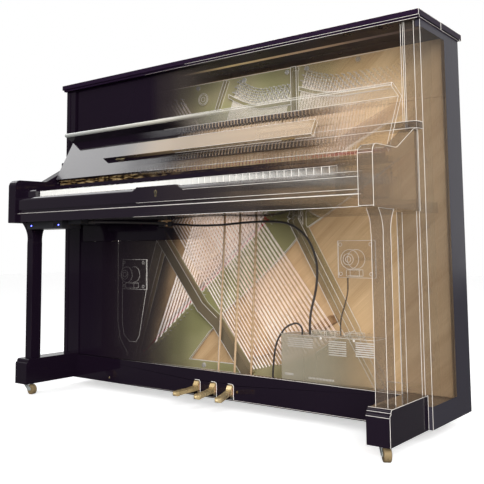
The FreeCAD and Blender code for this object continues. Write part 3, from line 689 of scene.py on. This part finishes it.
def islands(node):
    """(low corner, high corner) of each separate solid in a node."""
    mesh = bmesh.new()
    mesh.from_mesh(NODES[node].data)
    bmesh.ops.remove_doubles(mesh, verts=mesh.verts, dist=2e-5)
    left = set(mesh.verts)
    found = []
    while left:
        stack, seen = [left.pop()], []
        while stack:
            vert = stack.pop()
            seen.append(vert.co.copy())
            for edge in vert.link_edges:
                other = edge.other_vert(vert)
                if other in left:
                    left.discard(other)
                    stack.append(other)
        low = Vector([min(co[i] for co in seen) for i in range(3)])
        high = Vector([max(co[i] for co in seen) for i in range(3)])
        found.append((low, high))
    mesh.free()
    return found


def box_edges(low, high):
    """The twelve edges of a box as two rectangles and four posts."""
    def ring(z):
        return [Vector(p) for p in ((low[0], low[1], z), (high[0], low[1], z),
                                    (high[0], high[1], z), (low[0], high[1], z),
                                    (low[0], low[1], z))]
    bottom, top = ring(low[2]), ring(high[2])
    return [bottom, top] + [[a, b] for a, b in zip(bottom[:4], top[:4])]


def circle(centre, radius, axis=Y, steps=28):
    points = []
    for i in range(steps + 1):
        turn = 2 * math.pi * (i % steps) / steps
        point = Vector(centre)
        point[(axis + 1) % 3] += radius * math.cos(turn)
        point[(axis + 2) % 3] += radius * math.sin(turn)
        points.append(point)
    return points


# ---------------------------------------------------------------- edge lines of the case: pale painted highlights
def case_lines():
    for node in ("top_lid_front", "top_lid_rear"):
        low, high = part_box(node)
        body = BODY_OF[node]
        ends = section(node, X, high.x - 0.012, high.x)
        for point in ends[0]:
            for axis in (Y, Z):
                point[axis] = min(max(point[axis], low[axis] + 2 * LINE), high[axis] - 2 * LINE)
        lines(node + "_end_line", ends, "line_full", body, LINE)
    low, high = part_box("top_lid_front")
    lid = 1.190
    runs = [[(-0.10, low.y, lid), (high.x, low.y, lid)],
            [(-0.30, -0.031, 1.1835), (0.754, -0.031, 1.1835)],
            [(-0.10, low.y + 0.001, high.z - 0.001), (high.x, low.y + 0.001, high.z - 0.001)]]
    lines("lid_front_lines", runs, "line", "lid_flap")

    low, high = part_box("side_panel_right")
    front = low.y
    top_panel, bottom_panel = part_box("upper_panel"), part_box("lower_panel")
    uprights = [(0.754, front, 0.040, 1.183), (0.735, front, 0.040, 1.183),
                (0.727, front, 0.125, 0.634), (0.702, front, 0.866, 1.183),
                (0.707, front, 0.866, 1.183), (0.668, front, 0.126, 0.634),
                (0.684, front, 0.126, 0.634)]
    paths = [[(x, y, z0), (x, y, z1)] for x, y, z0, z1 in uprights]
    lines("side_panel_lines", paths, "line_full", "case")
    paths = [[(top_panel[1].x, top_panel[0].y, top_panel[0].z),
              (top_panel[1].x, top_panel[0].y, top_panel[1].z)],
             [(bottom_panel[1].x, bottom_panel[0].y, bottom_panel[0].z),
              (bottom_panel[1].x, bottom_panel[0].y, bottom_panel[1].z)]]
    lines("panel_edge_lines", paths, "line_full", "case")

    for node, faces, corners in (
            ("arm_right", (0.697, 0.738), ((-0.310, 0.637), (-0.310, 0.771), (-0.283, 0.7945))),
            ("leg_right", (0.691, 0.724), ()),
            ("toe_block_right", (0.677, 0.742), ((-0.260, 0.112), (-0.253, 0.123),
                                                 (-0.244, 0.131)))):
        outline = section(node, X, sum(faces) / 2, faces[1])[0]
        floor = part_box(node)[0].z + 0.001
        paths = [[a, b] for a, b in zip(outline, outline[1:]) if max(a.z, b.z) > floor]
        paths += [[(faces[0], y, z), (faces[1], y, z)] for y, z in corners]
        lines(node + "_lines", paths, "line_full", "case")
    near = [[(0.697, -0.310, 0.637), (0.697, -0.310, 0.771), (0.697, -0.306, 0.782),
             (0.697, -0.283, 0.7945)],
            [(0.691, -0.230, 0.131), (0.691, -0.230, 0.560), (0.691, -0.236, 0.606),
             (0.691, -0.255, 0.634)]]
    lines("near_edge_lines", near, "line_full", "case")

    low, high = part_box("bottom_rail")
    lines("bottom_rail_lines", [[(low.x + 0.01, low.y, high.z), (high.x - 0.05, low.y, high.z)],
                                [(-0.55, low.y - 0.0004, low.z + 0.0035),
                                 (high.x - 0.05, low.y - 0.0004, low.z + 0.0035)]],
          "line", "case")

    reach, arm_in = 0.697, 0.697
    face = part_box("key_slip")[0].y
    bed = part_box("keybed")
    slip = [[(0.110, face, 0.713), (arm_in, face, 0.713)],
            [(0.15, -0.281, 0.728), (arm_in, -0.281, 0.728)],
            [(-0.083, face, 0.680), (arm_in, face, 0.680)],
            [(-0.1, bed[0].y, bed[0].z), (arm_in, bed[0].y, bed[0].z)]]
    lines("key_slip_lines", slip, "line", "case")
    # painted highlight: a pale glowing line along the lip where the key slip meets the keybed
    lines("key_slip_lip_highlight", [[(-reach, bed[0].y, 0.668), (arm_in, bed[0].y, 0.668)]], "lip_highlight",
          "case", 0.0014)

    low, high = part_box("panel_ledge")
    ledge = [[(-0.25, low.y, z), (0.73, low.y, z), (0.746, low.y + 0.006, z),
              (high.x, low.y + 0.022, z), (high.x, -0.0153, z)] for z in (low.z, high.z)]
    lines("panel_ledge_lines", ledge, "line", "case")


def fallboard_lines():
    # pale lines along the edges of the fallboard and shelf: painted highlights
    node = "fallboard"
    low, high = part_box(node)
    ends = [max(section(node, X, high.x - 0.02, high.x - 0.0005), key=len)]
    lines("fallboard_end_lines", ends, "line_full", node)
    corners = ends[0]
    nose = sorted(corners, key=lambda p: p.y)[:1] + sorted(corners, key=lambda p: -p.z)[:1]
    knee = min(corners, key=lambda p: (p - Vector((high.x, -0.033, 0.965))).length)
    tip = min(corners, key=lambda p: (p - Vector((high.x, low.y, 0.985))).length)
    paths = [[(-0.2, p.y, p.z), (high.x, p.y, p.z)] for p in [knee, tip] + nose]
    lines("fallboard_long_lines", paths, "line", node)

    left_end = [p for p in corners if p.y < -0.04 and p.z < 0.96]
    lines("fallboard_left_edge", [[(low.x, p.y, p.z) for p in sorted(left_end,
          key=lambda p: p.z)[:2]]] if len(left_end) > 1 else [], "line_full", node)

    node = "music_shelf"
    low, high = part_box(node)
    end = section(node, X, high.x - 0.02, high.x)
    lines("music_shelf_end_line", end, "line_full", node_body(node))
    paths = [[(-0.1, p.y, p.z), (high.x, p.y, p.z)] for p in end[0][:-1]]
    lines("music_shelf_long_lines", paths, "line", node_body(node), FINE_LINE)


def node_body(node):
    return BODY_OF[node]


def key_lines():
    """A painted highlight: a pale frame round the front of each white key on the treble side."""
    for node in sorted(NODES):
        if not node.startswith("keys_") or node.endswith("sharp"):
            continue
        paths = []
        for low, high in islands(node):
            if high.x < 0.12:
                continue
            front = low.y
            top = 0.750
            frame_path = [(low.x, front, low.z), (high.x, front, low.z), (high.x, front, top),
                          (low.x, front, top), (low.x, front, low.z)]
            paths.append([Vector(p) for p in frame_path])
        if paths:
            lines(node + "_lines", paths, "line_full", BODY_OF[node], FINE_LINE)


def behind_pedals(point):
    """The plate's foot just behind the pedal levers, where a line would be touched."""
    return abs(point.x) < 0.12 and point.z < 0.135


def plate_lines():
    """Painted highlights: pale, faintly glowing lines on the edges of the plate's struts,
    cut-outs and rim.
    """
    front = 0.2025
    paths = sharp_edges("iron_plate", lambda a, b: max(a.y, b.y) < front
                        and abs(a.y - b.y) < 0.001 and not behind_pedals(a))
    lines("plate_edge_lines", paths, "plate_line", "case", 0.0009)


# ---------------------------------------------------------------- fittings
def hitch_z(x):
    """Height of the treble hitch-pin line; the same curve as the plate's edge."""
    return 0.108 + 0.851 * (x + 0.510) - 0.45 * max(0.0, x - 0.106) ** 2


def string_fittings():
    """Hitch pins, their felt, and a wire coil on each tuning pin."""
    pins = Shape()
    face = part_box("treble_strings")[0].y
    count = 62
    feet = []
    for i in range(count):
        x = -0.500 + 1.03 * i / (count - 1)
        z = hitch_z(x) - 0.012
        pins.rod((x + 0.006, face - 0.004, z), (x + 0.006, face + 0.006, z), 0.0018, 0.0014, 8)
        feet.append((x, z))
    pins.done("hitch_pins", "pin", "case", "nickel_pins")

    strip = Shape()
    for (x0, z0), (x1, z1) in zip(feet, feet[1:]):
        if x1 > 0.25:
            break
        a, b = Vector((x0 - 0.006, face + 0.0045, z0 + 0.022)), Vector((x1 - 0.006, face + 0.0045,
                                                                       z1 + 0.022))
        strip.rod(a, b, 0.0030, sides=6)
    strip.done("hitch_felt", "red", "case", "muffler_felt")

    coils = Shape()
    for low, high in islands("tuning_pins"):
        x, z = (low.x + high.x) / 2, (low.z + high.z) / 2
        at = 0.1745 if x < -0.2 else 0.1855
        coils.rod((x, at - 0.0030, z), (x, at + 0.0030, z), 0.0033, sides=10)
    coils.done("tuning_coils", "pin", "case", "nickel_pins")

    cloth = Shape()
    for x0, x1 in ((-0.62, -0.27),):
        cloth.box((x0, 0.1905, 1.036), (x1, 0.1915, 1.046))
    cloth.done("string_cloth", "red", "case", "muffler_felt", 0.0003)


def plate_bolts():
    """Dome bolts round the plate's rim, and the ring of its casting boss."""
    bolts = Shape()
    face = 0.1900
    for x in (-0.66, -0.44, -0.22, 0.0, 0.185, 0.265, 0.46, 0.66):
        bolts.rod((x, face - 0.005, 1.158), (x, face, 1.158), 0.0075, 0.010, 16)
    for z in (0.20, 0.40, 0.60, 0.80):
        for x in (-0.675, 0.675):
            bolts.rod((x, 0.187, z), (x, 0.192, z), 0.0075, 0.010, 16)
    for x in (-0.60, -0.20, 0.20, 0.60):
        bolts.rod((x, 0.187, 0.102), (x, 0.192, 0.102), 0.0075, 0.010, 16)
    bolts.done("plate_bolts", "pin", "case", "plate_gold", 0.0006)
    # the boss rings are pale glowing lines: painted highlights
    rings = [circle((-0.190, 0.1815, 1.110), r) for r in (0.023, 0.018, 0.009)]
    lines("plate_boss_rings", rings, "plate_line", "case", 0.0008)


def action_details():
    """Cloths, jacks and springs that give the action its rows of colour."""
    pitch, count = 0.0139, 88
    first = -43.5 * pitch
    cushions, jacks, springs = Shape(), Shape(), []
    for i in range(count):
        x = first + i * pitch
        cushions.box((x - 0.0035, 0.0850, 0.8280), (x + 0.0035, 0.1000, 0.8365))
        jacks.box((x - 0.0016, 0.036, 0.8010), (x + 0.0016, 0.0415, 0.8480))
        springs.append([Vector((x, 0.030, 0.8000)), Vector((x, 0.027, 0.824)),
                        Vector((x, 0.038, 0.848))])
    cushions.done("lever_cloths", "red", "case", "felt_and_wood", 0.0006)
    jacks.done("jacks", "action", "case", "action_wood", 0.0003)
    lines("jack_springs", springs, "vent", "case", 0.0004)


def keyhole_plate():
    """Brass escutcheon on the key slip, with its keyhole."""
    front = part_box("key_slip")[0].y
    plate = Shape()
    plate.rod((0.0, front - 0.0012, 0.7105), (0.0, front + 0.001, 0.7105), 0.0065, sides=28)
    plate.box((-0.0042, front - 0.0012, 0.6995), (0.0042, front + 0.001, 0.7105))
    plate.rod((0.0, front - 0.0012, 0.6995), (0.0, front + 0.001, 0.6995), 0.0042, sides=24)
    plate.done("keyhole_plate", "brass", "case", "wheel_brass", 0.0004)
    hole = Shape()
    hole.rod((0.0, front - 0.0016, 0.7105), (0.0, front - 0.0010, 0.7105), 0.0022, sides=16)
    hole.box((-0.0010, front - 0.0016, 0.7030), (0.0010, front - 0.0010, 0.7105))
    hole.done("keyhole", "panel", "case", "black_lacquer")


def fallboard_hinge():
    """Brass leaf with screws on the rail below the fallboard, and the hinge's knuckles."""
    front = -0.1065
    leaf = Shape()
    leaf.box((-0.680, front - 0.0012, 0.7845), (0.680, front + 0.0002, 0.7955))
    leaf.done("fallboard_hinge_leaf", "hinge", "case", "wheel_brass", 0.0003)
    screws = Shape()
    for i in range(15):
        x = -0.65 + 1.3 * i / 14
        screws.rod((x, front - 0.0022, 0.790), (x, front - 0.0010, 0.790), 0.0022, 0.0032, 14)
    screws.done("fallboard_hinge_screws", "hinge", "case", "wheel_brass")
    knuckles = Shape()
    for i in range(34):
        x = -0.68 + 0.04 * i
        knuckles.rod((x + 0.0006, -0.1105, 0.7995), (x + 0.0394, -0.1105, 0.7995), 0.0031,
                     sides=14)
    knuckles.done("fallboard_hinge_knuckles", "hinge", "fallboard", "wheel_brass")


def shelf_hinges():
    """Two short brass hinges in the gap at the folded shelf's lower edge."""
    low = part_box("music_shelf")[0]
    hinges = Shape()
    for x in (-0.36, 0.36):
        hinges.rod((x - 0.022, low.y + 0.010, low.z + 0.0005),
                   (x + 0.022, low.y + 0.010, low.z + 0.0005), 0.0028, sides=14)
        hinges.box((x - 0.022, low.y + 0.004, low.z - 0.0012), (x + 0.022, low.y + 0.016,
                                                                low.z + 0.0002))
    hinges.done("music_shelf_hinges", "brass", "fallboard", "wheel_brass", 0.0003)


def frame_joint(name):
    """Where a joint's axis passes, at rest."""
    for joint in frame["record"]["behaviour"]["joints"]:
        if joint["name"] == name:
            return Vector(joint["pos_m"])
    raise KeyError(name)


def pedal_fittings():
    """Felt in each pedal slot, a painted highlight as a pale line round the slot, and the steel
    guide at its foot.
    """
    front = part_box("bottom_rail")[0].y
    felts, guides, rim_highlights = Shape(), Shape(), []
    for side in ("left", "middle", "right"):
        x = frame_joint("pedal_" + side + "_hinge").x
        felts.box((x + 0.0112, front + 0.001, 0.054), (x + 0.0133, front + 0.018, 0.078))
        guides.box((x + 0.0010, front + 0.0005, 0.0422), (x + 0.0133, front + 0.012, 0.0475))
        rim_highlights.append([(x + 0.0140, front, 0.041), (x + 0.0140, front, 0.083),
                     (x + 0.0120, front, 0.088), (x + 0.0080, front, 0.0898),
                     (x - 0.0080, front, 0.0898)])
    felts.done("pedal_felts", "red_solid", "case", "muffler_felt", 0.0004)
    guides.done("pedal_guides", "chrome", "case", "caster_steel", 0.0012)
    lines("pedal_slot_rim_highlights", rim_highlights, "line_full", "case", 0.0010)


def pedal_rod_line():
    """Light caught along the front of the left pedal's rod."""
    x = frame_joint("pedal_left_hinge").x
    lines("pedal_rod_light", [[(x, 0.1015, 0.104), (x, 0.1442, 0.600)]], "vent", "case",
          0.0012)


def rail_buttons():
    """Small round screw covers on the bottom rail."""
    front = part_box("bottom_rail")[0].y
    buttons = Shape()
    for x, z in ((-0.4925, 0.052), (0.1016, 0.067)):
        buttons.rod((x, front - 0.0016, z), (x, front, z), 0.0030, 0.0042, 18)
    buttons.done("rail_buttons", "brass", "case", "wheel_brass")


def control_details():
    """Two blue lamps and a row of four keys on the control box."""
    face = -0.2618
    lamps, keys = Shape(), Shape()
    for x in (-0.6590, -0.5055):
        lamps.rod((x, face - 0.0010, 0.6225), (x, face, 0.6225), 0.0022, sides=14)
    first, spacing, width = -0.642, 0.016, 0.010
    for i in range(4):
        x = first + spacing * i
        keys.box((x, face - 0.0012, 0.6195), (x + width, face, 0.6255))
    lamps.done("control_lamps", "led", "case", "panel_plastic")
    keys.done("control_keys", "panel", "case", "panel_plastic", 0.0004)


def amplifier_details():
    """Rows of vent slats, screws and connectors on the amplifier's box."""
    low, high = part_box("amplifier_box")
    front = low.y
    slats = Shape()
    groups = ((0.274, 0.365, 0.226, 0.251, 5), (0.420, 0.479, 0.210, 0.250, 7),
              (0.510, 0.568, 0.213, 0.252, 7))
    for x0, x1, z0, z1, rows in groups:
        for i in range(rows):
            z = z0 + (z1 - z0) * i / (rows - 1)
            slats.box((x0, front - 0.0008, z - 0.0015), (x1, front + 0.0002, z + 0.0015))
    for i in range(18):
        x = 0.348 + 0.005 * i
        slats.box((x, front - 0.0008, 0.1300), (x + 0.0026, front + 0.0002, 0.1360))
    slats.box((0.262, front - 0.0008, 0.1350), (0.293, front + 0.0002, 0.1420))
    slats.done("amplifier_vents", "vent", "case", "unit_steel")
    screws = Shape()
    # the screw heads take the pale glowing line look: painted highlights
    for x in (0.393, 0.5046):
        screws.rod((x, front - 0.0014, 0.2570), (x, front, 0.2570), 0.0028, 0.0036, 14)
    screws.done("amplifier_screws", "line_full", "case", "unit_steel")
    ports = Shape()
    near, far, top = 0.050, 0.082, high.z + 0.014
    outlined = ((0.345, 0.392), (0.398, 0.428), (0.462, 0.512))
    for x0, x1 in (*outlined, (0.524, 0.540)):
        ports.box((x0, near, high.z), (x1, far, top))
    ports.done("amplifier_ports", "unit", "case", "unit_steel", 0.0012)
    # pale glowing lines round the top and the connectors: painted highlights
    ring = box_edges(low, Vector((high.x, 0.104, high.z)))[1]
    lines("amplifier_lines", [ring], "line_full", "case", 0.0006)
    port_lines = []
    for x0, x1 in outlined:
        port_lines += box_edges(Vector((x0, near, high.z)), Vector((x1, far, top)))
    lines("amplifier_port_lines", port_lines, "line_full", "case", 0.0004)


def driver_details():
    """The soundboard drivers: bolts and clamp rings, drawn with pale outlines."""
    for side, x, z in (("left", -0.480, 0.437), ("right", 0.478, 0.499)):
        bolts = Shape()
        for dx in (-0.052, 0.052):
            for dz in (-0.046, 0.046):
                bolts.rod((x + dx, 0.101, z + dz), (x + dx, 0.106, z + dz), 0.0045, 0.0055, 12)
        for turn in range(6):
            angle = math.radians(60 * turn)
            bx, bz = x + 0.0235 * math.cos(angle), z + 0.0235 * math.sin(angle)
            bolts.rod((bx, 0.059, bz), (bx, 0.0622, bz), 0.0025, 0.0032, 10)
        bolts.box((x - 0.022, 0.080, z - 0.052), (x + 0.022, 0.105, z - 0.033))
        bolts.done("driver_bolts_" + side, "driver", "case", "driver_steel", 0.0005)
        plate = box_edges(Vector((x - 0.064, 0.106, z - 0.058)), Vector((x + 0.064, 0.110,
                                                                        z + 0.058)))
        clamp = box_edges(Vector((x - 0.022, 0.080, z - 0.052)), Vector((x + 0.022, 0.105,
                                                                        z - 0.033)))
        rings = [circle((x, 0.0515, z), 0.0172), circle((x, 0.0515, z), 0.009),
                 circle((x, 0.0618, z), 0.0302), circle((x, 0.104, z), 0.0302)]
        rings += [circle((x + dx, 0.1005, z + dz), 0.0055, steps=12) for dx in (-0.052, 0.052)
                  for dz in (-0.046, 0.046)]
        # the outlines are painted highlights; the left driver's glow strongly
        tone = "line_inner" if side == "left" else "line_full"
        lines("driver_lines_" + side, plate + clamp + rings, tone, "case",
              0.0006)


def bay_lines():
    """Pale lines that glow strongly, painted highlights, along the back's left bay and the
    driver's bracket rods behind the lower panel.
    """
    x0, x1 = -0.655, -0.416
    path = [(x0, 0.190, 0.60), (x0, 0.190, 0.24), (-0.640, 0.190, 0.17), (-0.600, 0.190, 0.118),
            (-0.560, 0.190, 0.098)]
    inner = [(-0.545, 0.1055, 0.378), (-0.545, 0.1055, 0.25), (-0.535, 0.1055, 0.20),
             (-0.505, 0.1055, 0.176), (-0.470, 0.1055, 0.176), (-0.452, 0.1055, 0.20),
             (x1, 0.1055, 0.378)]
    lines("bay_lines", [path, inner], "line_inner", "case", 0.0007)


def cable_grommet():
    """Black plate that closes the notch round the cable under the keybed."""
    plate = Shape()
    for x0, x1 in ((-0.2548, -0.2270), (-0.2105, -0.1902)):
        plate.box((x0, -0.0040, 0.6165), (x1, 0.0060, 0.6335))
    plate.done("cable_grommet", "panel", "case", "panel_plastic", 0.0004)


def back_details():
    """Screws in the back posts."""
    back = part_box("back_frame")[1].y
    screws = Shape()
    for post in (-0.692, -0.346, 0.0, 0.346, 0.692):
        for z in (0.075, 0.125, 1.118, 1.160):
            screws.rod((post - 0.014, back - 0.0008, z), (post - 0.014, back + 0.0014, z), 0.0046,
                       0.0032, 14)
            screws.rod((post + 0.014, back - 0.0008, z), (post + 0.014, back + 0.0014, z), 0.0046,
                       0.0032, 14)
    screws.done("back_screws", "chrome", "case", "caster_steel")


def lid_hinge():
    """Piano hinge between the lid's two halves."""
    knuckles = Shape()
    y, z = 0.135, 1.208
    for i in range(37):
        x = -0.738 + 0.04 * i
        knuckles.rod((x + 0.0006, y, z), (x + 0.0354, y, z), 0.0021, sides=12)
    knuckles.done("lid_hinge_knuckles", "brass", "case", "wheel_brass")


# ---------------------------------------------------------------- studio
def make_studio():
    size = 14.0
    data = bpy.data.meshes.new("floor")
    data.from_pydata([(-size, -size, 0), (size, -size, 0), (size, size, 0), (-size, size, 0)], [],
                     [(0, 1, 2, 3)])
    floor = bpy.data.objects.new("floor", data)
    bpy.context.scene.collection.objects.link(floor)
    material, tree, shader = principled("floor_paint", (0.92, 0.92, 0.92), 0.7)
    shader.inputs["Emission Color"].default_value = (1.0, 1.0, 1.0, 1.0)
    seen = add(tree, "LightPath").outputs["Is Camera Ray"]
    paint = add(tree, "Mix", {0: seen, 6: (0.10, 0.10, 0.10, 1), 7: (0.92, 0.92, 0.92, 1)},
                data_type="RGBA")
    tree.links.new(paint.outputs[2], shader.inputs["Base Color"])
    glow = add(tree, "Mix", {0: seen, 2: 0.0, 3: 0.55})
    tree.links.new(glow.outputs[0], shader.inputs["Emission Strength"])
    data.materials.append(material)

    def softbox(name, at, aim, width, height, power, mirrored=True):
        lamp_data = bpy.data.lights.new(name, "AREA")
        lamp_data.shape = "RECTANGLE"
        lamp_data.size, lamp_data.size_y = width, height
        lamp_data.energy = power
        light = bpy.data.objects.new(name, lamp_data)
        bpy.context.scene.collection.objects.link(light)
        light.location = at
        light.rotation_mode = "QUATERNION"
        light.rotation_quaternion = (Vector(aim) - Vector(at)).to_track_quat("-Z", "Y")
        light.visible_glossy = mirrored

    softbox("top_softbox", (-1.9, -0.95, 3.0), (-0.2, -0.1, 0.8), 3.8, 1.7, 43.0)
    softbox("right_softbox", (3.4, -2.2, 2.4), (0.2, 0.0, 0.7), 2.0, 2.0, 75.0, False)
    softbox("front_softbox", (2.6, -4.2, 1.6), (0.1, 0.0, 0.6), 3.0, 3.0, 300.0, False)

    world = bpy.data.worlds.new("studio")
    bpy.context.scene.world = world
    world.use_nodes = True
    tree = world.node_tree
    background = tree.nodes["Background"]
    direction = add(tree, "TexCoord").outputs["Generated"]
    split = add(tree, "SeparateXYZ", {0: direction})
    share = add(tree, "MapRange", {"Value": split.outputs[Y], "From Min": -0.6, "From Max": 0.7,
                                   "To Min": 0.14, "To Max": 0.75})
    seen = add(tree, "LightPath").outputs["Is Camera Ray"]
    level = add(tree, "Mix", {0: seen, 2: share.outputs[0], 3: 1.0})
    tree.links.new(level.outputs[0], background.inputs["Strength"])
    background.inputs["Color"].default_value = (1.0, 1.0, 1.0, 1.0)

    scene = bpy.context.scene
    scene.view_settings.view_transform = "Standard"
    scene.cycles.transparent_max_bounces = 96


make_camera()
dress_nodes()
case_lines()
fallboard_lines()
key_lines()
plate_lines()
string_fittings()
plate_bolts()
action_details()
keyhole_plate()
fallboard_hinge()
shelf_hinges()
pedal_fittings()
pedal_rod_line()
rail_buttons()
control_details()
amplifier_details()
driver_details()
bay_lines()
cable_grommet()
back_details()
lid_hinge()
make_studio()
